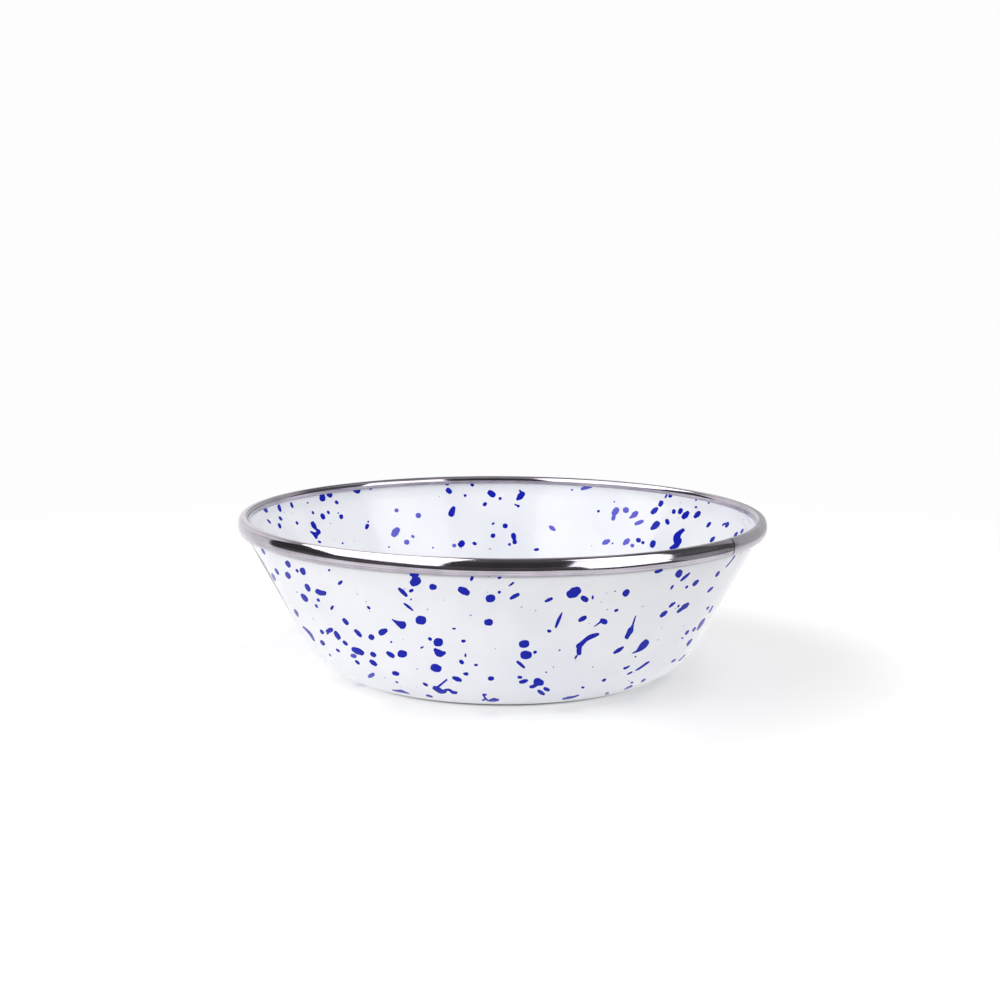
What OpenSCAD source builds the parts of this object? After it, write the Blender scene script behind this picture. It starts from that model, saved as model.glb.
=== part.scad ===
// Enamelled steel basin bowl with a rolled stainless rim
// Millimetres, +Z up, origin on the table at the centre of the base

/* [Bowl] */
// Outside diameter over the rolled rim
rim_d = 200; // [178:1:280]
// Overall height from the table to the top of the rim
bowl_h = 62; // [48:1:110]
// Diameter of the base, where the corner starts to rise
base_d = 96; // [64:1:118]
// Outside radius of the corner between base and wall
corner_r = 32; // [12:1:40]
// Outside radius of the shoulder that turns the wall upright in the rim
shoulder_r = 12; // [8:1:30]

/* [Base] */
// Width of the flat ring that the bowl stands on
stand_w = 9; // [4:0.5:14]
// Width of the slope between the standing ring and the raised panel
slope_w = 4; // [2:0.5:8]
// Height by which the middle of the base is pressed up
panel_rise = 0.8; // [0.2:0.1:2]

/* [Sheet and enamel] */
// Thickness of the pressed steel
steel_t = 0.6; // [0.4:0.05:1]
// Thickness of the dark ground coat on each side of the steel
ground_t = 0.1; // [0.06:0.01:0.2]
// Thickness of the white cover coat on each side
cover_t = 0.15; // [0.1:0.01:0.3]

/* [Rim] */
// Height of the finished rim
rim_h = 6.3; // [5.8:0.1:10]
// Width of the finished rim, from its inside to its outside
rim_w = 4.2; // [3.8:0.1:5.4]
// Thickness of the stainless band
band_t = 0.35; // [0.2:0.05:0.6]
// Clearance between the band and the enamel
band_fit = 0.05; // [0.02:0.01:0.2]
// Straight leg of the band on the inside, under its round top
band_leg = 0.8; // [0.3:0.1:1.5]
// Room between the edge of the folded lip and the lower round of the rim
lip_gap = 0.2; // [0.1:0.05:0.6]
// Gap between the two ends of the band at the seam
seam_gap = 0.35; // [0.1:0.05:1]
// Direction of the seam, seen from above, from +X
seam_az = -34; // [-180:1:180]

/* [Hidden] */
$fn = 180;
coat_t = ground_t + cover_t;
wall_t = steel_t + 2 * coat_t;

// Oval section of the rim: two rounds, one over the other, and straight sides between them
rim_r = rim_w / 2;
rim_top = [rim_d / 2 - rim_r, bowl_h - rim_r];
rim_low = [rim_top[0], bowl_h - rim_h + rim_r];
rim_side = rim_top[1] - rim_low[1];

// Inside of the fold of the lip, and outside face of the wall where it stands upright
lip_r = rim_r - band_t - band_fit - wall_t;
lip_x = rim_top[0] - lip_r;

// Centres of the two bends, and the common tangent between them
corner_c = [base_d / 2, corner_r];
shoulder_c = [lip_x - shoulder_r, rim_top[1] - band_leg];
span = shoulder_c - corner_c;
wall_a = atan2(span[0], span[1]) - asin((corner_r - shoulder_r) / norm(span));

// Straight sides are tucked this far into the rounds at their ends, so that they join
tuck = 0.0003;

slope_r = base_d / 2 - stand_w;
panel_r = slope_r - slope_w;
seam_turn = 360 * seam_gap / (PI * rim_d);

// Point at an angle on a circle
function on_arc(c, r, a) = [c[0] + r * cos(a), c[1] + r * sin(a)];

// Part of a ring between two angles
module arc_strip(c, r_in, r_out, from, to) {
    steps = ceil((to - from) / 60);
    fan = [for (i = [0 : steps]) on_arc(c, 2 * r_out, from + (to - from) * i / steps)];
    intersection() {
        translate(c) difference() {
            circle(r_out);
            circle(r_in);
        }
        polygon(concat([c], fan));
    }
}

// Underside of the base along its radius: raised panel, slope and flat ring
function underside(k) = [[0, panel_rise + k], [panel_r, panel_rise + k], [slope_r, k], [corner_c[0], k]];

// Lower right quarter of a disc, which rounds a bend
module bend(c, r) {
    translate(c) intersection() {
        circle(r);
        translate([0, -r]) square(r);
    }
}

// Everything inside the face that lies k under the outside face, up to the end of the shoulder
module inside_face(k) {
    polygon(concat(
        underside(k),
        [on_arc(corner_c, corner_r - k - tuck, -wall_a)],
        [on_arc(shoulder_c, shoulder_r - k - tuck, -wall_a)],
        [shoulder_c, [0, shoulder_c[1]]]
    ));
    bend(corner_c, corner_r - k);
    bend(shoulder_c, shoulder_r - k);
}

// Section of one layer of the bowl, from depth k0 to depth k1, with its part of the folded lip
module layer(k0, k1) {
    difference() {
        inside_face(k0);
        inside_face(k1);
    }
    translate([lip_x - k1, shoulder_c[1]]) square([k1 - k0, band_leg]);
    arc_strip(rim_top, lip_r + k0, lip_r + k1, 0, 180);
    translate([rim_top[0] + lip_r + k0, rim_low[1] + lip_gap]) square([k1 - k0, rim_side - lip_gap]);
}

// Section of the whole rim, or of the space inside the band
module oval(r) {
    translate(rim_top) circle(r);
    translate(rim_low) circle(r);
    translate([rim_top[0] - r + tuck, rim_low[1]]) square([2 * (r - tuck), rim_side]);
}

module steel_bowl() {
    color("dimgray") rotate_extrude() layer(coat_t, coat_t + steel_t);
}

module ground_coat_inside() {
    color("midnightblue") rotate_extrude() layer(coat_t + steel_t, wall_t - cover_t);
}

module ground_coat_outside() {
    color("midnightblue") rotate_extrude() layer(cover_t, coat_t);
}

module cover_coat_inside() {
    color("white") rotate_extrude() layer(wall_t - cover_t, wall_t);
}

module cover_coat_outside() {
    color("white") rotate_extrude() layer(0, cover_t);
}

// Band, open where the wall comes up into it, closed against the wall underneath and cut at the seam
module rim_band() {
    color("silver")
        rotate([0, 0, seam_az + seam_turn / 2])
            rotate_extrude(angle = 360 - seam_turn)
                difference() {
                    oval(rim_r);
                    oval(rim_r - band_t);
                    inside_face(-band_fit);
                }
}

steel_bowl();
ground_coat_inside();
ground_coat_outside();
cover_coat_inside();
cover_coat_outside();
rim_band();
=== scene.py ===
# %% [markdown]
# # An enamel basin bowl
# The real bowl is a pressed steel dish that is dipped in glass enamel, fired, flicked with cobalt
# drops, fired again and closed with a polished stainless rim. We turn the coats and the rim first,
# then lay the drops on the enamel, and give each piece its finish at the end. The CAD frame already
# has the right sizes, so every piece is laid on it.

# %% Load the CAD frame
import math
import random

import bpy
from mathutils import Euler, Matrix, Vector, noise


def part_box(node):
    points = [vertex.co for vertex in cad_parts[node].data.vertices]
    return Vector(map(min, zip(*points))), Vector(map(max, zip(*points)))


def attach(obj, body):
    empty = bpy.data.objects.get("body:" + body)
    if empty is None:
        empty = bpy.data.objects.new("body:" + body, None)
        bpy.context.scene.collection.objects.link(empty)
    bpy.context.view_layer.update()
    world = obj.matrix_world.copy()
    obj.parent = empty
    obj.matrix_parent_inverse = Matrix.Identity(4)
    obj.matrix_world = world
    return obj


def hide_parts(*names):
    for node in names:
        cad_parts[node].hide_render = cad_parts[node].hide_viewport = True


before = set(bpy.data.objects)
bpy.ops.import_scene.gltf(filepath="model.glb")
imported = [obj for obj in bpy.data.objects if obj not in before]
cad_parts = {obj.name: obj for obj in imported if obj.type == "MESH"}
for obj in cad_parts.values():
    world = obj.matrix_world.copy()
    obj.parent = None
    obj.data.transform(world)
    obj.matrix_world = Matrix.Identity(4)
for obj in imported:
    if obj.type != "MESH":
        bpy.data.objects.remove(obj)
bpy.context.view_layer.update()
band_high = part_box("rim_band")[1]
print("CAD nodes:", sorted(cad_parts))

# %% [markdown]
# ## Sizes
# A lathe shape needs only its section. Two sizes come from the frame, the rim's radius and the
# height. The others repeat the section of the pressed sheet: a flat ring to stand on, a corner, a
# straight flared wall, a shoulder that turns it upright, and a lip folded outwards into the rim.

# %% Sizes of the section
MM = 0.001
RIM_R = band_high[0]
BOWL_H = band_high[2]
BASE_R = 48 * MM
CORNER_R = 32 * MM
SHOULDER_R = 12 * MM
STAND_W = 9 * MM
SLOPE_W = 4 * MM
PANEL_RISE = 0.8 * MM
WALL_T = 1.1 * MM
COVER_T = 0.15 * MM
RIM_H = 6.3 * MM
RIM_W = 4.2 * MM
BAND_T = 0.35 * MM
BAND_FIT = 0.05 * MM
BAND_LEG = 0.8 * MM
LIP_GAP = 0.2 * MM
SEAM_AZ = -34

RIM_TOP = (RIM_R - RIM_W / 2, BOWL_H - RIM_W / 2)
LIP_R = RIM_W / 2 - BAND_T - BAND_FIT - WALL_T
LIP_X = RIM_TOP[0] - LIP_R
LIP_END = BOWL_H - RIM_H + RIM_W / 2 + LIP_GAP
CORNER_C = (BASE_R, CORNER_R)
SHOULDER_C = (LIP_X - SHOULDER_R, RIM_TOP[1] - BAND_LEG)
SPAN = (SHOULDER_C[0] - CORNER_C[0], SHOULDER_C[1] - CORNER_C[1])
WALL_A = math.degrees(math.atan2(*SPAN) - math.asin((CORNER_R - SHOULDER_R) / math.hypot(*SPAN)))
print(f"wall leans {WALL_A:.1f} degrees from upright")

# %% [markdown]
# ## The section of one face
# Every layer of the bowl follows the same line at another depth under the outside face, so one
# function gives them all. Bends are true arcs. The two shallow bends under the base are eased with
# a small curve, because enamel never runs over a sharp corner: it draws thin there and chips.

# %% A face at any depth
BASE_EASE = 1.75 * MM
EASE_STEPS = 6
PANEL_STEPS = 16
RING_STEPS = 6
CORNER_STEPS = 32
WALL_STEPS = 12
SHOULDER_STEPS = 14
LIP_STEPS = 16


def arc(centre, radius, start, end, steps):
    """Points of an arc in the plane of radius and height, with angles in degrees."""
    turns = [math.radians(start + (end - start) * i / steps) for i in range(steps + 1)]
    return [(centre[0] + radius * math.cos(t), centre[1] + radius * math.sin(t)) for t in turns]


def line(first, last, steps):
    """Points of a straight stretch, without its last point."""
    return [tuple(a + (b - a) * i / steps for a, b in zip(first, last)) for i in range(steps)]


def eased(before, corner, after, reach):
    """A corner rounded by a curve that starts and ends `reach` away from it."""
    ends = []
    for other in (before, after):
        far = math.dist(corner, other)
        ends.append(tuple(c + (o - c) * reach / far for c, o in zip(corner, other)))
    pulls = (ends[0], corner, ends[1])
    curve = []
    for i in range(EASE_STEPS + 1):
        t = i / EASE_STEPS
        weights = ((1 - t) ** 2, 2 * t * (1 - t), t * t)
        curve.append(tuple(sum(w * p[k] for w, p in zip(weights, pulls)) for k in (0, 1)))
    return curve


def bowl_face(depth):
    """The face at a depth under the outside, from the axis to the end of the folded lip."""
    slope_r = BASE_R - STAND_W
    axis = (0, PANEL_RISE + depth)
    panel = (slope_r - SLOPE_W, PANEL_RISE + depth)
    slope = (slope_r, depth)
    ring = (BASE_R, depth)
    inner = eased(axis, panel, slope, BASE_EASE)
    outer = eased(panel, slope, ring, BASE_EASE)
    corner = arc(CORNER_C, CORNER_R - depth, -90, -WALL_A, CORNER_STEPS)
    shoulder = arc(SHOULDER_C, SHOULDER_R - depth, -WALL_A, 0, SHOULDER_STEPS)
    lip = arc(RIM_TOP, LIP_R + depth, 180, 0, LIP_STEPS)
    lip.append((lip[-1][0], LIP_END))
    flat = line(axis, inner[0], PANEL_STEPS) + inner + outer + line(outer[-1], ring, RING_STEPS)[1:]
    return flat + corner + line(corner[-1], shoulder[0], WALL_STEPS)[1:] + shoulder + lip


outside = bowl_face(0)
inside = bowl_face(WALL_T)
print(len(outside), "points on a face")

# %% [markdown]
# ## Faces that can carry drops
# Later every drop of cobalt has to lie on the enamel. A face therefore knows how far along its
# section a point is and where it looks. It also has the slow swell of fired enamel, a few
# hundredths of a millimetre, which makes reflections bend as they do in real glass.

# %% A face with a run, a normal and a swell
SWELL = 0.022 * MM
SWELL_LENGTH = 21 * MM
PEEL = 0.004 * MM
PEEL_LENGTH = 5 * MM
OUTER_SEED = 3.7
INNER_SEED = 8.1


class Face:
    """One visible face of the bowl, on the outside or on the inside of the wall."""

    def __init__(self, section, side, seed):
        self.section = section
        self.side = side
        self.seed = Vector((seed, 2 * seed, -seed))
        self.run = [0.0]
        for a, b in zip(section, section[1:]):
            self.run.append(self.run[-1] + math.dist(a, b))

    def at(self, run):
        """Radius, height and normal at a distance along the section."""
        i = 0
        while i < len(self.run) - 2 and self.run[i + 1] < run:
            i += 1
        (r0, z0), (r1, z1) = self.section[i], self.section[i + 1]
        long = self.run[i + 1] - self.run[i]
        t = (run - self.run[i]) / long
        out = (z1 - z0) / long * self.side
        up = (r0 - r1) / long * self.side
        return r0 + (r1 - r0) * t, z0 + (z1 - z0) * t, out, up

    def nearest(self, radius, height):
        """Distance along the section of the point nearest to a radius and height."""
        best = (math.inf, 0.0)
        for i, ((r0, z0), (r1, z1)) in enumerate(zip(self.section, self.section[1:])):
            along = (r1 - r0, z1 - z0)
            t = ((radius - r0) * along[0] + (height - z0) * along[1]) / (along[0] ** 2 + along[1] ** 2)
            t = min(max(t, 0.0), 1.0)
            far = math.hypot(radius - r0 - t * along[0], height - z0 - t * along[1])
            best = min(best, (far, self.run[i] + t * (self.run[i + 1] - self.run[i])))
        return best[1]

    def swell(self, point):
        """How far the fired enamel stands proud at a point."""
        slow = noise.noise(point / SWELL_LENGTH + self.seed)
        fine = noise.noise(point / PEEL_LENGTH - self.seed)
        return SWELL * slow + PEEL * fine

    def spot(self, turn, run, lift=0.0):
        """A point above the enamel, from its direction and its distance along the section."""
        radius, height, out, up = self.at(run)
        point = Vector((radius * math.cos(turn), radius * math.sin(turn), height))
        normal = Vector((out * math.cos(turn), out * math.sin(turn), up))
        return point + normal * (lift + self.swell(point))


outer_face = Face(outside, 1, OUTER_SEED)
inner_face = Face(inside, -1, INNER_SEED)
print(f"run of the outside face {outer_face.run[-1] / MM:.1f} mm")

# %% [markdown]
# ## The white cover coats
# Each coat is a skin of 0.15 mm that closes on itself at the axis and at the end of the lip. We
# turn its section on a lathe with our own code: the Screw modifier could do it, but then the swell
# would need a second modifier, and we want the same swell under the drops.

# %% Turn the two cover coats
TURNS = 360
SWELL_START = 4 * MM


def new_piece(name, points, faces):
    """A mesh object from points and faces, shaded smooth."""
    mesh = bpy.data.meshes.new(name)
    mesh.from_pydata([tuple(p) for p in points], [], faces)
    mesh.validate()
    mesh.polygons.foreach_set("use_smooth", [True] * len(mesh.polygons))
    piece = bpy.data.objects.new(name, mesh)
    bpy.context.collection.objects.link(piece)
    return piece


def coat(name, face, back):
    """A thin closed skin: its visible face with the swell, and its plain back."""
    points = face.section + back[::-1]
    shown = len(face.section)
    made = [Vector((0, 0, points[0][1]))]
    for i, (radius, height) in enumerate(points[1:-1], start=1):
        for step in range(TURNS):
            turn = 2 * math.pi * step / TURNS
            spot = Vector((radius * math.cos(turn), radius * math.sin(turn), height))
            if i < shown and radius > SWELL_START:
                spot = face.spot(turn, face.run[i])
            made.append(spot)
    made.append(Vector((0, 0, points[-1][1])))
    rows = len(points) - 2
    faces = []
    for step in range(TURNS):
        following = (step + 1) % TURNS
        faces.append((0, 1 + following, 1 + step))
        for row in range(rows - 1):
            low, high = 1 + row * TURNS, 1 + (row + 1) * TURNS
            faces.append((low + step, low + following, high + following, high + step))
        last = 1 + (rows - 1) * TURNS
        faces.append((last + step, last + following, len(made) - 1))
    if face.side < 0:
        faces = [f[::-1] for f in faces]
    return new_piece(name, made, faces)


enamel_outside = coat("enamel_outside", outer_face, bowl_face(COVER_T))
enamel_inside = coat("enamel_inside", inner_face, bowl_face(WALL_T - COVER_T))
for piece, node in ((enamel_outside, "cover_coat_outside"), (enamel_inside, "cover_coat_inside")):
    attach(piece, "root")
    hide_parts(node)
    print(piece.name, len(piece.data.polygons), "faces")

# %% [markdown]
# ## The rim band
# The rim is a strip of stainless steel rolled round the folded lip. Its section is an upright oval:
# a straight leg inside, a round top, a slightly bulged outer side and a round bottom that closes
# against the wall. The strip's edges are rolled over, and its two ends meet at a butt seam, where
# they never close quite square: the gap is wider on top. A thin strip also takes up a slight
# waviness when it is rolled, which breaks up the reflections along the rim.

# %% Section of the rim band
STRIP_T = 0.25 * MM
END_R = 1.9 * MM
IN_R = 1.7 * MM
OUT_END = -117
OUTER_STEPS = (18, 26, 22, 12)
INNER_STEPS = (8, 5, 6, 6)
EDGE_STEPS = 6
JOIN = 0.01 * MM
RIM_MID = (RIM_TOP[0], BOWL_H - RIM_H / 2)
END_UP = RIM_H / 2 - END_R
SIDE_R = (RIM_W ** 2 / 4 + END_UP ** 2 - END_R ** 2) / (RIM_W - 2 * END_R)
SIDE_TURN = math.degrees(math.atan2(END_UP, SIDE_R - RIM_W / 2))


def strip_face(depth, steps):
    """Radius, height and angle along a face of the strip, from the bottom to the inner leg."""
    low = (RIM_MID[0], RIM_MID[1] - END_UP)
    side = (RIM_MID[0] + RIM_W / 2 - SIDE_R, RIM_MID[1])
    high = (RIM_MID[0], RIM_MID[1] + END_UP)
    within = (RIM_MID[0] - RIM_W / 2 + IN_R, BOWL_H - IN_R)
    parts = (
        (low, END_R, OUT_END, -SIDE_TURN),
        (side, SIDE_R, -SIDE_TURN, SIDE_TURN),
        (high, END_R, SIDE_TURN, 90),
        (within, IN_R, 90, 180),
    )
    face = []
    for (centre, radius, first, last), count in zip(parts, steps):
        turns = [first + (last - first) * i / count for i in range(count + 1)]
        points = arc(centre, radius - depth, first, last, count)
        new = [(*point, turn) for point, turn in zip(points, turns)]
        meets = face and math.dist(face[-1][:2], new[0][:2]) < JOIN
        face += new[1:] if meets else new
    foot = SHOULDER_C[1] + STRIP_T / 2
    face.append((face[-1][0], foot, 180))
    return face


def rolled_edge(face_end, turn, way):
    """Half round on an edge of the strip: way 1 goes from the outer face to the inner, -1 back."""
    half = STRIP_T / 2
    out, up = math.cos(math.radians(turn)), math.sin(math.radians(turn))
    middle = (face_end[0] - half * out, face_end[1] - half * up)
    points = []
    for i in range(1, EDGE_STEPS):
        t = math.pi * i / EDGE_STEPS
        thick = way * half * math.cos(t)
        ahead = way * half * math.sin(t)
        radius = middle[0] + thick * out - ahead * up
        height = middle[1] + thick * up + ahead * out
        points.append((radius, height, turn))
    return points


outer = strip_face(0.0, OUTER_STEPS)
inner = strip_face(STRIP_T, INNER_STEPS)
section = [(*point, 1) for point in outer]
section += [(*point, 0) for point in rolled_edge(outer[-1], 180, 1)]
section += [(*point, -1) for point in inner[::-1]]
section += [(*point, 0) for point in rolled_edge(outer[0], OUT_END, -1)]
print(len(section), "points round the section of the strip")

# %% [markdown]
# ## Rolling the band
# The section goes round the bowl from one end of the strip to the other. At its two ends the strip
# is drawn in a little, so that the cut edges are rounded off and catch a fine line of light.

# %% Roll the rim band
BAND_TURNS = 720
SEAM_LOW = 0.3 * MM
SEAM_HIGH = 0.6 * MM
END_ROUND = 0.05 * MM
END_EASE = [(0, 0.75), (0.3, 0.28), (1.0, 0.0), (2.5, 0.0)]
BAND_WAVE = 0.018 * MM
BAND_WAVE_LENGTH = 24 * MM
BAND_WAVE_TURN = 90


def band():
    """The strip rolled round the rim, with rounded ends at its seam."""
    whole = 2 * math.pi * RIM_R
    made = []
    for step in range(BAND_TURNS + 1):
        near = min(step, BAND_TURNS - step)
        for radius, height, angle, side in section:
            lift = max((height - RIM_MID[1]) / (RIM_H / 2), 0)
            gap = SEAM_LOW + (SEAM_HIGH - SEAM_LOW) * lift
            travel = gap / 2 + (whole - gap) * step / BAND_TURNS
            shrink = 0.0
            if near < len(END_EASE):
                inset = gap / 2 + END_EASE[near][0] * END_ROUND
                shrink = END_EASE[near][1] * END_ROUND * side
                travel = inset if step < BAND_TURNS / 2 else whole - inset
            turn = math.radians(SEAM_AZ) + travel / RIM_R
            ring = RIM_MID[0] * Vector((math.cos(turn), math.sin(turn), 0))
            wave = noise.noise(ring / BAND_WAVE_LENGTH + Vector((0, 0, angle / BAND_WAVE_TURN)))
            move = BAND_WAVE * (wave - 1) - shrink
            out = radius + move * math.cos(math.radians(angle))
            up = height + move * math.sin(math.radians(angle))
            made.append((out * math.cos(turn), out * math.sin(turn), up))
    count = len(section)
    faces = [tuple(range(count)), tuple(len(made) - 1 - i for i in range(count))]
    for step in range(BAND_TURNS):
        for i in range(count):
            following = (i + 1) % count
            low, high = step * count, (step + 1) * count
            faces.append((low + i, high + i, high + following, low + following))
    return new_piece("rim_strip", made, faces)


rim_strip = band()
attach(rim_strip, "root")
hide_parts("rim_band")
print("rim strip", len(rim_strip.data.polygons), "faces")

# %% [markdown]
# ## The camera
# The camera stands where the photograph was taken: about 0.9 m away, a little above the rim, with
# a long lens, and a touch of roll. It comes before the drops, because some of them are placed by
# looking through it.

# %% Camera at the photograph's place
PICTURE = 1000
SENSOR_W = 36
LENS_PX = 2400
CAMERA_AT = Vector((-0.0010, -0.9001, 0.2062))
CAMERA_DOWN = 0.1535
CAMERA_ROLL = 0.0065

view = bpy.data.cameras.new("view")
view.sensor_width = SENSOR_W
view.lens = SENSOR_W * LENS_PX / PICTURE
camera = bpy.data.objects.new("camera", view)
camera.location = CAMERA_AT
aim = Euler((math.pi / 2 - CAMERA_DOWN, 0, 0)).to_matrix() @ Euler((0, 0, CAMERA_ROLL)).to_matrix()
camera.rotation_euler = aim.to_euler()
bpy.context.collection.objects.link(camera)
bpy.context.scene.camera = camera


def look(x, y):
    """Direction from the camera through a pixel of the picture."""
    half = PICTURE / 2
    return (aim @ Vector((x - half, half - y, -LENS_PX))).normalized()


def pixel(point):
    """Pixel of the picture in which a point is seen."""
    seen = aim.transposed() @ (point - CAMERA_AT)
    scale = LENS_PX / -seen.z
    return Vector((PICTURE / 2 + seen.x * scale, PICTURE / 2 - seen.y * scale))


middle_of_rim = pixel(Vector((0, 0, BOWL_H)))
print(f"the middle of the rim is seen at {middle_of_rim.x:.1f}, {middle_of_rim.y:.1f}")

# %% [markdown]
# ## Outline of a drop
# A flicked drop of cobalt is seldom round: it is drawn out, bent or has a tail. So a drop is a chain
# of circles, and its outline runs smoothly from the first to the last. One circle gives a round
# drop, two give an oval or a teardrop, and more give a splash. The outline is made of cross lines
# from one end to the other.

# %% Cross lines of a drop
END_TURNS = (80, 64, 48, 32, 16)
ROUND_STRETCH = 0.06
OVAL_BULGE = 0.1
LONG_CHAIN = 4
SHORT_STEPS = 3
LONG_STEPS = 2


def smooth(a, b, c, d, t):
    """A point on a smooth curve from b to c, with its neighbours a and d."""
    return b + 0.5 * t * (c - a + t * (2 * a - 5 * b + 4 * c - d + t * (3 * (b - c) + d - a)))


def spine(chain):
    """Cross lines of a drop: middle, way ahead, half width, and how far out on a round end."""
    row = [Vector(circle) for circle in chain]
    if len(row) == 1:
        apart = Vector((ROUND_STRETCH * row[0].z, 0, 0))
        row = [row[0] - apart, row[0] + apart]
    full = [row[0]] + row + [row[-1]]
    steps = SHORT_STEPS if len(row) < LONG_CHAIN else LONG_STEPS
    path = []
    for i in range(1, len(full) - 2):
        path += [smooth(*full[i - 1:i + 3], t=s / steps) for s in range(steps)]
    path.append(row[-1])
    ways = [(b - a).xy.normalized() for a, b in zip(path, path[1:])]
    ways = [ways[0]] + [(a + b).normalized() for a, b in zip(ways, ways[1:])] + [ways[-1]]
    bulge = OVAL_BULGE * (row[0] - row[-1]).xy.length if len(row) == 2 else 0.0
    body = []
    for i, (circle, way) in enumerate(zip(path, ways)):
        t = i / (len(path) - 1)
        body.append((circle.xy, way, circle.z + 4 * bulge * t * (1 - t), 0.0))
    ends = []
    for end, circle, way in ((-1, path[0], ways[0]), (1, path[-1], ways[-1])):
        rows = []
        for turn in END_TURNS:
            ahead = math.sin(math.radians(turn))
            wide = math.cos(math.radians(turn))
            rows.append((circle.xy + way * end * ahead * circle.z, way, wide * circle.z, ahead))
        ends.append(rows)
    return ends[0] + body + ends[1][::-1]


print(len(spine([(0, 0, 1)])), "cross lines on a round drop")

# %% [markdown]
# ## Dome of a drop
# Coloured enamel melts into the white coat and stays a little proud of it, with a round edge and a
# flat top. It could be painted with a texture, but then it would have no edge to catch the light,
# so each drop is a small closed dome. Its outline wobbles a little, and its edge is sunk under the
# face of the white coat, so that no gap shows.

# %% Make a drop on a face
DROP_H = 0.07 * MM
DROP_SINK = 0.05 * MM
FULL_DROP = 1.2 * MM
LEAST_RISE = 0.3
ACROSS = (-1, -0.95, -0.8, -0.45, 0, 0.45, 0.8, 0.95, 1)
FLAT_TOP = 4
WOBBLE = 0.06
WAVES = (6, 9)
EDGE_FILM = 0.62
FILM_RISE = 2.5
SEED = 27
dice = random.Random(SEED)


def drop_height(radius):
    """How far a drop stands proud: small drops are flatter."""
    return DROP_H * min(1.0, LEAST_RISE + radius / FULL_DROP)


def add_drop(parts, chain, tall, film, face, lay):
    """Adds one closed dome to the parts of a mesh: points, faces and the depth of the colour."""
    made, faces, films = parts
    rows = spine(chain)
    start, count, last = len(made), len(ACROSS), len(rows) - 1
    wobble = [dice.uniform(-WOBBLE, WOBBLE) for _ in range(4)]
    for i, (middle, way, half, ahead) in enumerate(rows):
        side = Vector((-way.y, way.x))
        slow = math.sin(WAVES[0] * i / last)
        quick = math.cos(WAVES[1] * i / last)
        left = 1 + wobble[0] * slow + wobble[1] * quick
        right = 1 + wobble[2] * slow + wobble[3] * quick
        for share in ACROSS:
            place = middle + side * half * share * (left if share < 0 else right)
            dome = (1 - share ** FLAT_TOP) * (1 - ahead ** FLAT_TOP)
            edge = i in (0, last) or abs(share) == 1
            made.append(face.spot(*lay(place), -DROP_SINK if edge else tall * dome))
            films.append(film * (EDGE_FILM + (1 - EDGE_FILM) * min(1.0, FILM_RISE * dome)))
    skin = []
    for row in range(last):
        low, high = start + row * count, start + (row + 1) * count
        skin += [(low + i, high + i, high + i + 1, low + i + 1) for i in range(count - 1)]
        skin.append((low, low + count - 1, high + count - 1, high))
    end = start + last * count
    skin.append(tuple(range(start, start + count)))
    skin.append(tuple(range(end, end + count))[::-1])
    origin, east, north = (Vector(lay(Vector(place))) for place in ((0, 0), (1, 0), (0, 1)))
    mirrored = (east - origin).cross(north - origin) < 0
    faces += [f[::-1] for f in skin] if mirrored == (face.side > 0) else skin


print("a drop stands", DROP_H / MM, "mm proud")

# %% [markdown]
# ## Drops seen in the photograph
# The splatter is what makes this bowl look as it does, so the drops that the photograph shows are
# laid where it shows them. Each circle is read as a place and a radius in pixels. A ray from the
# camera finds the middle of the drop on the enamel, and the face's own slope turns its shape in the
# picture into a shape on the surface. From then on the drop lies on the face like any other.

# %% Lay a drop that is seen at a pixel
LEAST_SLANT = 0.14
SOFT_EDGE = 0.22
SLANT_STEP = 0.2 * MM
px_per_m = LENS_PX / CAMERA_AT.length


def slants(face, turn, run):
    """How a step across and a step up the face move in the picture."""
    here = pixel(face.spot(turn, run))
    beside = pixel(face.spot(turn + SLANT_STEP / face.at(run)[0], run))
    above = pixel(face.spot(turn, run + SLANT_STEP))
    return (beside - here) / SLANT_STEP, (above - here) / SLANT_STEP


def lay_seen(parts, face, enamel, drops, film):
    """Lays the drops of a list: chains of circles, each x, y and radius in pixels of the picture."""
    for read in drops:
        chain = [(x, y, radius + SOFT_EDGE * film) for x, y, radius in read]
        wide = max(chain, key=lambda circle: circle[2])
        spot = enamel.ray_cast(CAMERA_AT, look(wide[0], wide[1]))[1]
        turn = math.atan2(spot.y, spot.x)
        run = face.nearest(math.hypot(spot.x, spot.y), spot.z)
        radius = face.at(run)[0]
        across, up = slants(face, turn, run)
        whole = across.x * up.y - across.y * up.x
        whole = math.copysign(max(abs(whole), LEAST_SLANT * px_per_m ** 2), whole)

        def lay(place):
            step_x, step_y = place.x - wide[0], place.y - wide[1]
            aside = (step_x * up.y - step_y * up.x) / whole
            ahead = (across.x * step_y - across.y * step_x) / whole
            return turn + aside / radius, run + ahead

        add_drop(parts, chain, drop_height(wide[2] / px_per_m), film, face, lay)


print(f"one millimetre of the bowl is {px_per_m * MM:.2f} pixels wide")

# %% [markdown]
# ### Outside of the bowl, on the left
# The lists go round the wall from left to right, each from under the rim down to the foot. A drop
# is a chain of circles, and a circle is x, y and radius in pixels of the picture.

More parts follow.
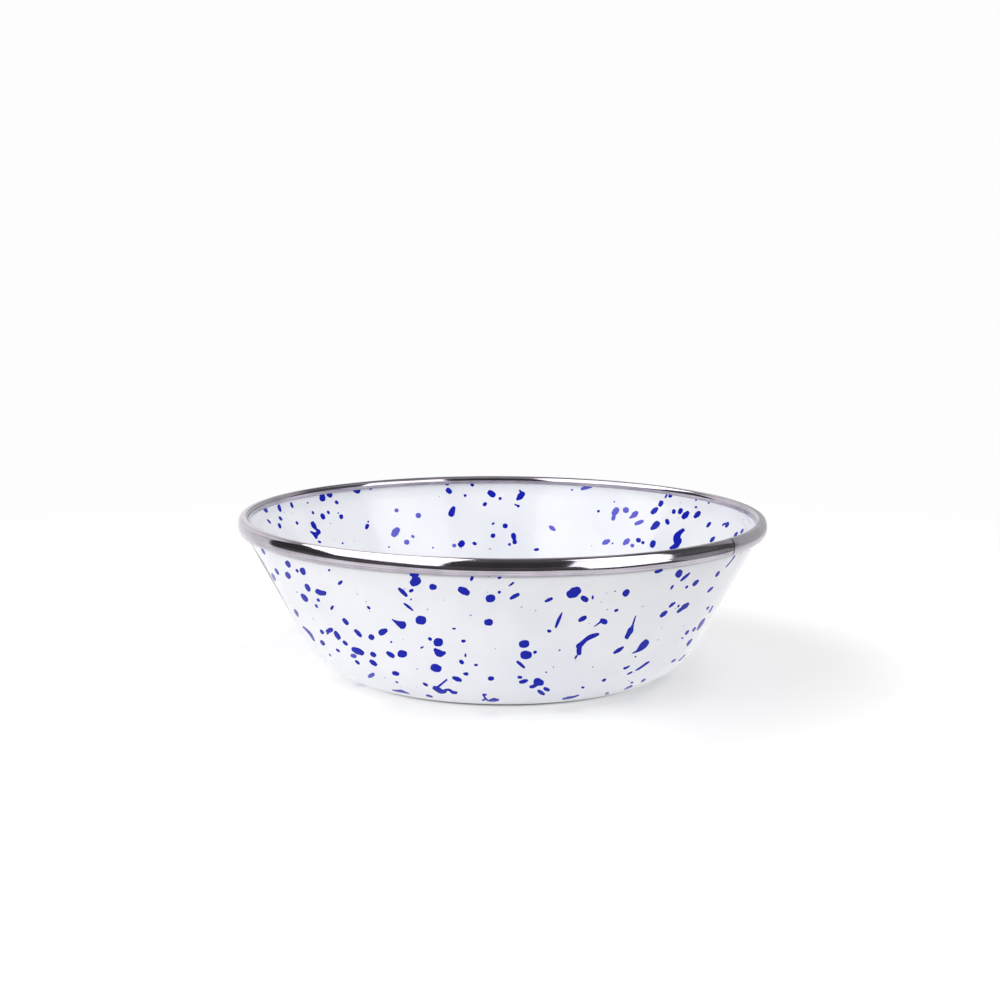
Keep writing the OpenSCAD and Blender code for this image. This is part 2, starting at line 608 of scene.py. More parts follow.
# %% Drops on the left of the outside
FULL_FILM = 1.0
LEFT_UNDER_THE_RIM = [
    [(287, 562.5, 1.9), (289, 566, 1.7)], [(275.3, 569, 0.8), (278.2, 574, 0.8)],
    [(271.8, 574, 0.7), (275, 580.5, 0.7)], [(287, 573.8, 2.0), (288.9, 577.2, 1.8)],
    [(296.6, 570, 1.0), (297.7, 571.6, 0.9)], [(302, 570, 2.4), (303.7, 572.9, 2.2)],
    [(306.4, 585.6, 1.9), (308.8, 589.8, 1.7)], [(302.2, 595.3, 1.7), (306.2, 599.9, 2.0)],
    [(317.5, 591.3, 2.4), (320, 592.7, 2.6), (324, 593.4, 2.2)],
    [(317.8, 599.5, 1.1), (318.9, 600.8, 1.0)], [(315.8, 605, 0.8), (317.2, 607.3, 0.7)],
    [(331.5, 608.8, 1.1), (332.6, 606.6, 1.1)], [(329.2, 570.2, 1.0)],
    [(339.2, 583.6, 1.4), (341.3, 581.7, 1.2)], [(367.8, 606.9, 0.9), (369.5, 608.4, 0.9)],
    [(294.6, 609.9, 0.7), (298, 616, 0.7)], [(262, 549.5, 0.8), (264.3, 554, 0.7)],
]
LEFT_WALL = [
    [(303, 627, 0.8), (307, 630.5, 1.2), (310.5, 634.5, 1.2), (312.6, 638, 0.9), (314.2, 640.5, 0.6)],
    [(321, 630.8, 1.2), (322.8, 633, 1.2)], [(327.3, 631.2, 1.8), (330.8, 630, 2.3)],
    [(327.7, 633.6, 0.9)], [(335.6, 632.8, 1.9), (337, 635.2, 2.3), (338.7, 637.8, 2.0)],
    [(344, 619.8, 1.7), (347, 623.5, 1.7)],
    [(355.5, 630.7, 1.5), (358.3, 633.4, 2.1), (360.7, 635.9, 1.3)],
    [(371, 636.8, 2.6), (371.8, 637.6, 2.6)], [(381.2, 632.6, 2.8), (385, 630.8, 2.5)],
    [(343.9, 641.8, 1.3), (346.6, 644.5, 1.2)], [(321.5, 641.6, 1.5), (323.6, 644.2, 1.4)],
    [(336.8, 649.5, 0.8), (339.2, 651.5, 0.8)],
    [(353.5, 649.2, 2.2), (357.5, 651, 3.2), (361.5, 653, 2.6)],
    [(356.1, 661.2, 1.1), (358.8, 663.6, 1.0)], [(372.2, 653.8, 2.1), (374, 655.3, 2.1)],
    [(371, 661.3, 1.7), (373.3, 662.9, 2.3), (375.6, 664.6, 1.6)],
    [(387.9, 652.9, 1.8), (390.5, 654.6, 2.4), (393, 656.3, 1.7)],
    [(400.9, 653.9, 3.5), (403.6, 653.9, 3.5)], [(393.9, 673, 1.9), (397.3, 674, 1.9)],
]

drops_outside = ([], [], [])
lay_seen(drops_outside, outer_face, enamel_outside, LEFT_UNDER_THE_RIM + LEFT_WALL, FULL_FILM)
print("faces of the drops on the left:", len(drops_outside[1]))

# %% [markdown]
# ### Outside of the bowl, in the middle
# Here the wall faces the camera and the shapes are seen best: round drops, teardrops with a tail
# and, low on the foot, splashes where several drops ran together.

# %% Drops in the middle of the outside
MIDDLE_UNDER_THE_RIM = [
    [(411.5, 574.5, 1.9), (414.5, 575, 2.2), (417.3, 574.5, 1.7)],
    [(414.9, 576, 2.7), (415.2, 580, 3.2)], [(413.7, 582.5, 4.0), (417, 580.8, 4.1)],
    [(410.4, 591.1, 1.4), (412.1, 590.3, 1.4)],
    [(399.4, 589, 1.4), (402.8, 592, 2.1), (406.2, 595.4, 1.5)],
    [(432, 586.9, 2.8), (434, 587.1, 2.8)], [(460.8, 589.6, 3.0), (464, 591, 3.8), (467, 592.8, 2.9)],
    [(472.3, 577.3, 1.3), (471.2, 580, 1.2)], [(489.3, 598.7, 3.7), (491.7, 598.1, 3.7)],
    [(499.3, 592.2, 1.4)], [(498.7, 578, 1.0), (500.8, 577.3, 0.8)],
    [(404.5, 603.8, 0.9), (407.5, 606, 1.3), (410, 608, 1.1), (413, 610.5, 0.5)],
    [(509, 585.9, 0.4), (511.5, 584.2, 0.9), (513.3, 582.8, 0.8)],
    [(511, 598.3, 1.3), (514.5, 596.3, 2.0), (518, 594.5, 1.6)],
]
MIDDLE_WALL = [
    [(402.3, 625.2, 3.9), (398, 623.2, 2.3), (394.5, 621, 1.0), (392.3, 619.6, 0.5)],
    [(419.8, 620.3, 4.4), (422, 620.1, 4.3)], [(487.3, 622.4, 3.2), (489.8, 622.2, 3.2)],
    [(429.5, 638.6, 1.4), (430.5, 639.4, 1.4)], [(437.6, 642.4, 4.2), (438.9, 642.2, 4.2)],
    [(462.7, 641.1, 1.4), (464.2, 641.1, 1.4)],
    [(435.5, 650, 1.9), (438, 652.5, 3.6), (441, 653.8, 3.4), (444, 653, 1.8)],
    [(434, 667.6, 3.6), (438, 668.6, 3.6)], [(465.4, 653.8, 0.4), (465.5, 656, 0.9)],
    [(460.9, 661.5, 1.8), (462.2, 662.5, 1.8)], [(475.2, 665, 1.0), (476.8, 665, 1.0)],
    [(522.5, 644.2, 3.7), (525.8, 643.8, 3.6)], [(524.2, 655.1, 4.0), (528, 654.9, 4.0)],
    [(534.4, 652.2, 1.2), (535.7, 652, 1.2)],
    [(517.7, 662, 1.3), (520.5, 664.2, 1.6), (524, 667.3, 1.1)],
    [(453, 628.7, 0.7), (455, 628.7, 0.7)], [(421, 647.9, 0.6), (423, 647, 0.6)], [(391.2, 642, 0.9)],
]
MIDDLE_FOOT = [
    [(453.8, 677.8, 1.6), (457.3, 679.1, 2.4), (460.3, 680.4, 1.5)],
    [(463.8, 673.6, 0.7), (466.8, 674, 1.6)], [(423.8, 683.6, 0.9), (427, 685.4, 1.0)],
    [(434.5, 688, 1.9), (438, 689.8, 2.6), (441.5, 691.8, 2.5), (445, 691.9, 1.6)],
    [(436.5, 688, 1.3), (440, 685.3, 0.9), (443.5, 682.5, 0.8), (445.2, 681.2, 0.9)],
    [
        (444.5, 690.6, 1.2), (447.5, 689.9, 1.0), (450, 690.3, 1.1), (452.5, 692.3, 1.6),
        (456, 692.7, 1.4),
    ],
    [(392.5, 690.2, 0.5), (397, 691, 1.2), (401, 691.3, 1.4), (405, 692.5, 0.9), (409, 693.8, 0.4)],
    [(426.5, 695.4, 0.7), (429, 696, 1.2), (432, 697, 0.7)],
    [(489.9, 678.6, 2.0), (492.2, 678.5, 1.9)], [(483, 694.8, 0.8), (486, 694.8, 0.7)],
    [(483.5, 695.5, 0.7), (485.5, 698.5, 0.9), (488, 700.8, 0.9)],
    [(482.5, 700.3, 0.6), (485, 699.5, 0.7)],
    [(489.5, 700.8, 1.0), (494, 700.1, 1.9), (497.8, 700.1, 1.2)],
    [(518.7, 677.3, 1.2), (521, 677.3, 1.2)],
    [(520.5, 682, 1.5), (523.5, 681.5, 2.0), (526.7, 680.6, 1.3)],
    [(537, 681.8, 3.6), (540.6, 682.8, 3.4)],
    [(536, 684.5, 2.0), (533, 686.6, 1.8), (530.6, 687, 1.3)],
    [(538.7, 691.2, 1.3), (541.2, 692.7, 1.9), (543.8, 694.2, 1.3)],
    [(545, 688.6, 1.6), (548.5, 690.2, 1.4)],
    [(563, 699.2, 0.8), (568, 698, 1.2), (573, 697.2, 0.9), (578.5, 695.5, 0.4)],
]

middle_drops = MIDDLE_UNDER_THE_RIM + MIDDLE_WALL + MIDDLE_FOOT
lay_seen(drops_outside, outer_face, enamel_outside, middle_drops, FULL_FILM)
print("with those in the middle:", len(drops_outside[1]))

# %% [markdown]
# ### Outside of the bowl, on the right
# The drops on the right were flicked upwards and lean to the right. The longest is a bent splash,
# and the chain of circles follows its bend.

# %% Drops on the right of the outside
RIGHT_UNDER_THE_RIM = [
    [(545.8, 601.2, 1.1), (548.8, 599.8, 1.6), (551.5, 598.6, 1.3)],
    [(570.6, 594.1, 4.2), (574, 592.5, 5.2), (577.2, 590.7, 4.0)],
    [(583.2, 598, 2.5), (586, 599.8, 2.5)], [(592.9, 596, 0.5), (592.5, 598.5, 0.8)],
    [(625.2, 594, 2.7), (627, 591.8, 2.7)], [(678.2, 574.8, 2.9), (680, 572.2, 2.7)],
    [(681, 580.7, 0.7), (684, 578, 1.3), (687, 575.4, 1.2), (689.5, 573.2, 0.7)],
    [(693.8, 584.8, 1.4), (695.6, 582.9, 1.9), (697.7, 581, 1.3)],
    [(686.2, 587.7, 0.9), (687.2, 586.4, 0.9)], [(670.9, 588.8, 0.6), (673.2, 585.5, 0.6)],
    [(716.2, 576, 0.9), (719, 572, 0.9)], [(656, 572, 1.4), (659, 571.2, 1.5), (662, 570, 0.9)],
    [(707.5, 592.3, 0.3), (713, 587, 0.4)], [(726, 567, 0.35), (730, 562.5, 0.45), (735, 556, 0.4)],
]
RIGHT_WALL = [
    [(555.9, 627, 1.0), (557.5, 623, 1.5), (559.5, 618, 1.4), (561.8, 613, 0.5)],
    [(548.6, 631.1, 1.4), (549.9, 631.1, 1.4)],
    [(579.8, 620.4, 1.5), (582.5, 618.8, 2.3), (584.8, 617.4, 2.0)],
    [(615.4, 610.9, 1.1), (617.2, 609.9, 1.1)], [(604.9, 621.9, 2.6), (602.4, 620.8, 2.5)],
    [(601, 621.6, 1.1), (597, 624.6, 0.5), (594.6, 626.4, 0.4)],
    [
        (597.8, 634.3, 1.2), (594, 635.5, 2.0), (589.5, 637.3, 2.2), (585.5, 640, 2.0),
        (582, 643.5, 2.4), (579, 646.3, 3.0),
    ],
    [(579.4, 647.5, 2.6), (579, 650.5, 2.5), (579, 653, 2.3)], [(577, 655.4, 0.6), (575, 658.5, 0.5)],
    [
        (626.8, 637, 2.2), (628.6, 633.7, 2.4), (630.5, 630.4, 3.0), (631.9, 627.8, 1.7),
        (632.9, 624.5, 0.8), (634, 621, 0.7), (635.7, 616, 0.3),
    ],
    [
        (646, 642.4, 3.1), (643, 645.5, 3.5), (639.5, 649.3, 2.2), (637, 651.3, 1.1),
        (632.5, 653.3, 0.3),
    ],
    [(614.5, 652.7, 1.2), (617.5, 650.9, 1.9), (620.3, 649.2, 1.7), (623, 647.3, 0.8)],
    [(661.3, 616, 1.5), (663.6, 614.1, 2.1), (666, 612, 1.5)],
    [(669.7, 606.7, 0.9), (672, 604.7, 1.4), (674.7, 602.8, 0.8)],
    [(678, 606.7, 0.7), (678.9, 605.4, 0.7)],
    [(683.3, 607.6, 2.0), (685.8, 605.7, 2.2), (688, 603.9, 1.4)],
    [(682.2, 608.6, 1.6), (679.8, 610.3, 1.5), (677.8, 612, 1.0)],
    [(707, 609.3, 0.6), (708.7, 607, 0.6)],
    [(709.3, 612.5, 0.4), (711, 609.5, 0.7), (712.8, 606, 0.4)],
    [(697.5, 629.5, 0.7), (700.5, 625, 1.5), (703, 621.3, 1.4), (704.6, 618.8, 0.6)],
    [(693, 631, 0.7), (695.3, 627.8, 0.7)], [(685.8, 634, 0.8), (688.3, 631, 0.8)],
    [(687.3, 645.3, 0.8), (689.3, 642.5, 1.4), (691.7, 639.5, 0.7)], [(682.4, 638, 0.8)],
]
RIGHT_FOOT = [
    [(624.5, 668.4, 1.1), (627, 667.5, 0.9), (629.5, 666, 0.4)],
    [(627.5, 674.3, 0.5), (630, 673, 0.8), (632, 672, 0.5)],
    [(635.5, 670.5, 0.3), (638.5, 669, 0.9), (643, 666, 0.9), (647, 663.3, 0.9), (649.5, 662, 0.4)],
    [(603, 680.7, 1.0), (605.1, 679.6, 1.0)], [(582.3, 687.5, 0.9), (583.6, 687.5, 0.8)],
    [(624.7, 689.5, 0.5), (628, 688, 1.1), (631.8, 686.2, 0.8)],
    [(641.5, 681.8, 0.6), (645, 679.4, 0.7)], [(605.5, 694.3, 0.6), (608.3, 693.2, 0.6)],
    [(671.8, 662.2, 0.5), (675.3, 659.5, 0.6)],
    [(679, 660.8, 0.4), (682, 658.3, 0.6), (685, 655, 0.4)], [(631, 683, 0.5), (632.8, 682.3, 0.6)],
]

right_drops = RIGHT_UNDER_THE_RIM + RIGHT_WALL + RIGHT_FOOT
lay_seen(drops_outside, outer_face, enamel_outside, right_drops, FULL_FILM)
print("with those on the right:", len(drops_outside[1]))

# %% [markdown]
# ### Thin drops on the outside
# A drop with little cobalt in it comes out paler. Its film says so, and the finish reads it later.

# %% Thin drops on the outside
PALE_OUTSIDE_FILM = 0.6
PALE_OUTSIDE = [
    [(352.3, 655.5, 1.9), (354.8, 656.3, 1.8)], [(369.5, 676.3, 1.8), (372.5, 674.9, 1.8)],
    [(411, 599.4, 0.9)], [(470.7, 615.3, 0.7)], [(635.5, 656.7, 0.8)], [(559.6, 650.2, 0.9)],
    [(546.2, 672.3, 0.8)], [(615, 591.3, 0.7)], [(329.3, 654.2, 0.5), (330.6, 656, 0.5)],
    [(396, 681.8, 0.7), (397.8, 682.7, 0.7)],
]

lay_seen(drops_outside, outer_face, enamel_outside, PALE_OUTSIDE, PALE_OUTSIDE_FILM)
print("faces of the drops seen outside:", len(drops_outside[1]))

# %% [markdown]
# ### Inside of the bowl
# Over the front rim the photograph shows the upper part of the far wall. It faces the camera more
# squarely than the outside does, so its drops keep their shapes better.

# %% Drops on the inside
FAR_LEFT = [
    [(264.3, 507.8, 1.5), (266.3, 511.5, 1.1)],
    [(278.8, 505.8, 1.3), (279.4, 508.2, 1.6), (280.2, 510.8, 1.0)],
    [(291, 503.2, 0.9), (292.3, 507.2, 0.8)], [(267.5, 519.7, 0.5), (270.3, 523.3, 0.5)],
    [(279.7, 517.5, 1.1), (281.3, 519.6, 1.0)], [(279, 524.3, 1.1), (280.2, 527.4, 1.1)],
    [(296.6, 522.2, 0.9), (297.4, 523.9, 0.9)], [(312.6, 512, 0.9), (313.3, 513.4, 0.9)],
    [(321.7, 495.5, 2.5), (322.7, 498.6, 2.9)], [(328.3, 493.3, 2.2), (330, 495.2, 2.4)],
    [(336.2, 501.9, 1.4), (337.1, 502.9, 1.4)], [(322.3, 515.3, 1.9), (323.4, 517.6, 1.9)],
    [(327.9, 511.7, 1.0), (328.8, 513.1, 1.0)], [(341, 516.3, 1.9), (341.4, 517.1, 1.9)],
    [(312.7, 523.2, 1.9), (313.9, 525.8, 2.3), (315.3, 528.2, 1.6)],
    [(316.2, 529.2, 1.0), (318.1, 530.8, 1.8), (318.6, 532.4, 2.0)],
    [(310.6, 531.7, 0.6), (313.1, 533.2, 1.4), (315.6, 535.1, 2.2), (316.3, 537.5, 1.3)],
    [(318.3, 532.3, 1.7), (316.3, 534.5, 1.9)], [(318.8, 541.6, 0.9), (320.5, 542.2, 0.8)],
    [(355, 490, 2.4), (357.7, 490.7, 2.7)], [(370.7, 488.5, 1.3)],
    [(366.5, 527.7, 1.6), (367.4, 525.4, 1.6)], [(307.7, 502.8, 0.7)], [(368.2, 521.6, 0.8)],
    [(342.6, 543.3, 0.8)],
]
FAR_MIDDLE = [
    [(445.8, 483.4, 1.2), (447.5, 484, 1.5)], [(448.1, 490.2, 2.4), (449.7, 491.7, 2.3)],
    [(471.5, 483.1, 1.4), (472.4, 485, 1.6)], [(465.2, 495.6, 1.3)],
    [(490.2, 493, 2.9), (493, 494.7, 2.7)], [(500.1, 498.5, 1.4)],
    [(484.5, 504.5, 1.7), (485.3, 503.8, 1.7)],
    [(451.5, 513.3, 3.5), (452.5, 510.5, 2.8), (453.6, 508, 1.7)],
    [(517.6, 499, 1.5), (520, 496.6, 3.1), (522.6, 494.2, 2.5)],
    [(521.5, 493, 0.9), (519.6, 490, 0.4)],
    [(515.3, 504.7, 0.8), (516.8, 505.3, 0.7), (518.3, 506.1, 1.3)], [(505.2, 525.9, 2.4)],
    [(493, 535.7, 2.2)],
    [(513.4, 535.4, 2.5), (513.8, 537.2, 2.5), (514.3, 539.7, 1.6), (514.7, 541.9, 2.3)],
    [(509.5, 544.4, 1.3)], [(460.8, 544.3, 3.0), (462, 543.4, 3.0)],
    [(474, 543.3, 1.5), (475.3, 543.8, 1.4)], [(534.7, 549.7, 0.9), (537.8, 549.5, 1.2)],
    [(492.5, 524, 0.8), (493.7, 523.3, 0.8)],
]
FAR_RIGHT = [
    [(598.4, 511.2, 1.2)], [(652.7, 512.3, 2.1), (654.5, 510.7, 2.7), (656.5, 508.8, 1.7)],
    [(660.3, 504.8, 2.0), (661.5, 502.5, 2.0)], [(669.6, 496.3, 1.3), (671, 496, 1.2)],
    [(665.3, 497.5, 0.5), (666.8, 495, 0.6)], [(673.6, 512, 1.8), (674, 511, 1.8)],
    [(679.8, 512.2, 2.0), (680.9, 510.1, 2.0)],
    [(683.7, 517, 2.2), (685.6, 515, 2.9), (687.4, 512.9, 2.1)],
    [(695.5, 516.4, 1.9), (697.3, 514.6, 2.6), (699, 512.7, 1.8)],
    [(667, 520.8, 1.9), (667.8, 522.9, 1.8)],
    [(652, 528.3, 1.7), (654.8, 526.2, 3.0), (657.2, 523.8, 2.9)],
    [(707.4, 526.3, 1.2), (708.7, 524.7, 1.6), (710, 523, 1.1)],
    [(727.8, 523, 1.2), (727.2, 525, 1.6), (726.2, 526.3, 1.3)],
    [(722.8, 525, 0.7), (724.5, 523.8, 0.9), (726.2, 523.8, 1.0)],
    [
        (682.9, 530.2, 1.8), (680.3, 532.3, 2.2), (677.8, 535.2, 3.1), (676.9, 538.3, 3.9),
        (677.6, 540.8, 4.2),
    ],
    [(677.4, 543, 3.1), (676.2, 545.6, 2.8), (673.3, 546.9, 2.1), (670.7, 548, 1.2)],
    [(711, 541, 1.2), (712.5, 539.2, 1.8), (714, 537.6, 1.1)],
    [(734.8, 535.9, 0.9), (737, 532.8, 0.9)], [(741, 533, 0.5), (743, 529.2, 0.5)],
    [(638.4, 540.2, 2.3)], [(642.9, 542.6, 1.5)], [(652.3, 545.1, 2.6), (653.3, 542.7, 2.5)],
    [(696, 507.2, 1.0)], [(696, 500.2, 0.8)], [(708.7, 503, 0.8)],
]

drops_inside = ([], [], [])
lay_seen(drops_inside, inner_face, enamel_inside, FAR_LEFT + FAR_MIDDLE + FAR_RIGHT, FULL_FILM)
print("faces of the dark drops inside:", len(drops_inside[1]))

# %% [markdown]
# ### Thin drops on the inside
# Some drops of the far wall ran thin in the fire and came out violet. They have a list of their own.

# %% Thin drops on the inside
PALE_INSIDE_FILM = 0.5
PALE_INSIDE = [
    [(394, 534.2, 3.0), (395.3, 532.3, 3.8), (397, 530.3, 3.1)], [(396.5, 510.4, 2.0)],
    [(418.3, 515.5, 2.7)], [(412.5, 536.1, 1.3), (413.3, 536.9, 1.3)], [(406.7, 542.2, 2.6)],
    [(454.2, 545.5, 1.9)], [(550.2, 526.6, 1.3), (552, 528, 2.2), (554.3, 529.8, 1.4)],
    [(582, 489, 1.4), (585, 488, 1.9), (588.5, 487.2, 1.6), (591.5, 486.9, 0.8)],
    [(614.3, 513, 2.9), (616.5, 510, 2.9)], [(614, 515.5, 1.5), (613.2, 518.7, 2.0)],
    [(625.9, 510.1, 3.0)],
    [(629.8, 517.9, 0.8), (632.3, 516.4, 1.9), (634.5, 514.6, 2.9), (636.3, 512.9, 2.1)],
    [(636, 523.8, 1.6), (639, 522.6, 2.1), (642.3, 521.3, 1.6)],
    [(624.3, 543.8, 1.6), (626.3, 541.9, 2.8), (628, 540.3, 2.1)], [(632.3, 545.6, 1.9)],
    [(603.7, 543.3, 1.7), (606, 542, 2.7), (608.3, 540.8, 1.9)], [(572, 489.9, 1.0)],
    [(614.3, 501.8, 0.8)], [(612.5, 543.4, 0.9)], [(432.9, 547.7, 0.9)], [(388.9, 547, 0.9)],
    [(338.2, 513.1, 0.8)],
]

lay_seen(drops_inside, inner_face, enamel_inside, PALE_INSIDE, PALE_INSIDE_FILM)
print("faces of the drops seen inside:", len(drops_inside[1]))

# %% [markdown]
# ## Drops on the rest of the bowl
# The back, the near inside wall, the floor of the bowl and the underside are not in the picture.
# The same brush flicked them, so they get drops of like sizes and shapes, at random but from a fixed
# seed. Where the camera looks, only a few specks too small to be read one by one are added.
# A usual shape has the draw up to which it is taken and its circles, each as a distance along the
# drop and a radius.

# %% Shapes of flicked drops
LOOK_LIFT = 0.05 * MM
LOOK_START_MM = 0.3
BLOCKERS = (enamel_outside, enamel_inside, rim_strip)
BEND = 0.18
SHAPES = [
    (0.4, [(0, 1)]),
    (0.72, [(-0.55, 0.85), (0.55, 0.8)]),
    (0.84, [(-0.5, 1), (0.7, 0.62), (1.7, 0.25)]),
    (0.92, [(-0.4, 0.9), (0.8, 0.4), (1.7, 0.2), (2.8, 0.12)]),
    (1.0, [(-1.2, 0.8), (0, 0.55), (1.1, 0.75)]),
]


def is_seen(face, turn, run, reach):
    """Whether the camera sees a spot of a face, or any place that far around it."""
    radius = face.at(run)[0]
    for across, ahead in ((0, 0), (-1, 0), (1, 0), (0, -1), (0, 1)):
        place = min(max(run + ahead * reach, 0), face.run[-1])
        spot = face.spot(turn + across * reach / radius, place, LOOK_LIFT)
        way = (CAMERA_AT - spot).normalized()
        start = spot + way * LOOK_START_MM * MM
        if not any(blocker.ray_cast(start, way)[0] for blocker in BLOCKERS):
            return True
    return False


def flicked_chain(size):
    """A drop of one of the usual shapes, in metres: round, oval, teardrop, tailed or joined."""
    lean = dice.uniform(0, 2 * math.pi)
    way = Vector((math.cos(lean), math.sin(lean)))
    kind = dice.random()
    shape = next(shape for most, shape in SHAPES if kind < most)
    bend = dice.uniform(-BEND, BEND)
    side = Vector((-way.y, way.x))
    return [(*(size * (way * a + side * bend * a * a)), size * r) for a, r in shape]


print(len(SHAPES), "usual shapes of flicked drops")

# %% [markdown]
# ### Flicking
# Drops are scattered evenly: a place is drawn by area, so that the narrow rings near the middle get
# fewer. The sizes spread as sizes of spray do, with many small drops and few large ones. The middle
# of the floor and the ring that the bowl stands on stay bare.

# %% Flick the other drops
DROPS_PER_M2 = 8600
DROP_SIZE = 0.95 * MM
DROP_SPREAD = 0.5
SPECKS_PER_M2 = 3600
SPECK_SIZE = 0.2 * MM
SPECK_SPREAD = 0.25
FULL_SHARE = 0.88
FLICKED_PALE_FILM = 0.55
MIDDLE_CLEAR = 2 * MM
RING_CLEAR = 0.2 * MM
TAIL_REACH = 2.5


def flick(parts, face, last_run, per_m2, size, spread, hide_seen):
    """Scatters drops evenly over a face, out to a distance along its section."""
    area = 0.0
    bands = []
    for a, b, run in zip(face.section, face.section[1:], face.run):
        if run > last_run:
            break
        area += math.pi * (a[0] + b[0]) * math.dist(a, b)
        bands.append((area, run, math.dist(a, b)))
    laid = 0
    for _ in range(int(area * per_m2)):
        pick = dice.uniform(0, area)
        run = next(start + dice.random() * long for total, start, long in bands if total >= pick)
        turn = dice.uniform(0, 2 * math.pi)
        wide = size * math.exp(spread * dice.gauss(0, 1))
        chain = flicked_chain(wide)
        film = FULL_FILM if dice.random() < FULL_SHARE else FLICKED_PALE_FILM
        radius, height = face.at(run)[:2]
        bare = radius < MIDDLE_CLEAR or height < RING_CLEAR
        if bare or (hide_seen and is_seen(face, turn, run, TAIL_REACH * wide)):
            continue

        def lay(place):
            return turn + place.x / radius, run + place.y

        add_drop(parts, chain, drop_height(wide), film, face, lay)
        laid += 1
    return laid


out_end = outer_face.nearest(LIP_X, BOWL_H - RIM_H)
in_end = inner_face.nearest(LIP_X - WALL_T, SHOULDER_C[1])
for parts, face, end in ((drops_outside, outer_face, out_end), (drops_inside, inner_face, in_end)):
    many = flick(parts, face, end, DROPS_PER_M2, DROP_SIZE, DROP_SPREAD, True)
    tiny = flick(parts, face, end, SPECKS_PER_M2, SPECK_SIZE, SPECK_SPREAD, False)
    print("flicked", many, "drops and", tiny, "specks")

# %% [markdown]
# ## Two meshes of drops
# All drops of one face become one piece. The depth of the colour goes with each point as an
# attribute, so that the finish can be lighter where the enamel is thin.

# %% Make the pieces of drops
for name, parts in (("drops_outside", drops_outside), ("drops_inside", drops_inside)):
    piece = new_piece(name, parts[0], parts[1])
    film = piece.data.attributes.new("film", "FLOAT", "POINT")
    film.data.foreach_set("value", parts[2])
    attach(piece, "root")
    print(name, len(piece.data.polygons), "faces")

# %% [markdown]
# ## Sums with sockets
# A finish is a graph of nodes. To read it like a formula, one small class wraps an output socket:
# adding, multiplying or subtracting wraps builds the Math nodes. Every other node comes from its
# method `node`, which takes the node's type, its settings and its sockets.

# %% A socket that does sums
class Wire:
    """An output socket of a material's nodes that can be used in sums."""

    def __init__(self, tree, socket=None):
        self.tree = tree
        self.socket = socket

    def node(self, kind, settings, sockets, output=0):
        """Adds a node: its settings are set first, then the values or links of its sockets."""
        new = self.tree.nodes.new(kind)
        for key, value in settings.items():
            setattr(new, key, value)
        for key, value in sockets.items():
            if isinstance(value, Wire):
                self.tree.links.new(value.socket, new.inputs[key])
            else:
                new.inputs[key].default_value = value
        return Wire(self.tree, new.outputs[output])

    def maths(self, operation, *values):
        """Adds a Math node on one or two values."""
        return self.node("ShaderNodeMath", {"operation": operation}, dict(enumerate(values)))

    def __add__(self, other):
        return self.maths("ADD", self, other)

    def __radd__(self, other):
        return self.maths("ADD", other, self)

    def __sub__(self, other):
        return self.maths("SUBTRACT", self, other)

    def __rsub__(self, other):
        return self.maths("SUBTRACT", other, self)

    def __mul__(self, other):
        return self.maths("MULTIPLY", self, other)

    def __rmul__(self, other):
        return self.maths("MULTIPLY", other, self)

    def between(self, low, high):
        """0 below one value, 1 above another and a soft step between them."""
        settings = {"interpolation_type": "SMOOTHSTEP"}
        return self.node("ShaderNodeMapRange", settings, {0: self, 1: low, 2: high, 3: 0.0, 4: 1.0})

    def noise(self, scale, detail=2.0, rough=0.5):
        """Cloudy noise on this position, about 0 to 1."""
        sockets = {"Vector": self, "Scale": scale, "Detail": detail, "Roughness": rough}
        return self.node("ShaderNodeTexNoise", {}, sockets)

    def mix(self, first, second):
        """A colour between two colours, with this value as the share of the second."""
        sockets = {0: self, 6: first, 7: second}
        return self.node("ShaderNodeMix", {"data_type": "RGBA"}, sockets, output=2)

    def bump(self, distance):
        """A normal that follows this value as a height, in metres."""
        sockets = {"Height": self, "Distance": distance, "Strength": 1.0}
        return self.node("ShaderNodeBump", {}, sockets)

    def length(self):
        """How far this position is from the origin."""
        return self.node("ShaderNodeVectorMath", {"operation": "LENGTH"}, {0: self}, output="Value")

    def from_axis(self):
        """How far this position is from the bowl's axis."""
        sockets = {0: self, 1: (1, 1, 0)}
        return self.node("ShaderNodeVectorMath", {"operation": "MULTIPLY"}, sockets).length()

    def axes(self):
        """The x, y and z of this position, each as a wire."""
        split = self.node("ShaderNodeSeparateXYZ", {}, {0: self}).socket.node
        return [Wire(self.tree, output) for output in split.outputs]


print("a wire can do:", ", ".join(name for name in vars(Wire) if name[0] != "_"))

# %% [markdown]
# ## Starting a finish
# Every finish starts in the same way: a new material, its shader, and the position on the object,
# from which all noises are read. A second helper sets or links the shader's sockets by name.

# %% Start a finish and feed its shader
def finish_for(name):
    """A new material with its shader, and the position on the object as a wire."""
    material = bpy.data.materials.new(name)
    material.use_nodes = True
    tree = material.node_tree
    shader = tree.nodes["Principled BSDF"]
    place = Wire(tree).node("ShaderNodeTexCoord", {}, {}, output="Object")
    return material, shader, place


def feed(shader, **sockets):
    """Sets or links the sockets of a shader."""
    for key, value in sockets.items():
        socket = shader.inputs[key.replace("_", " ")]
        if isinstance(value, Wire):
            value.tree.links.new(value.socket, socket)
        else:
            socket.default_value = value


print("finishes can be started and fed")
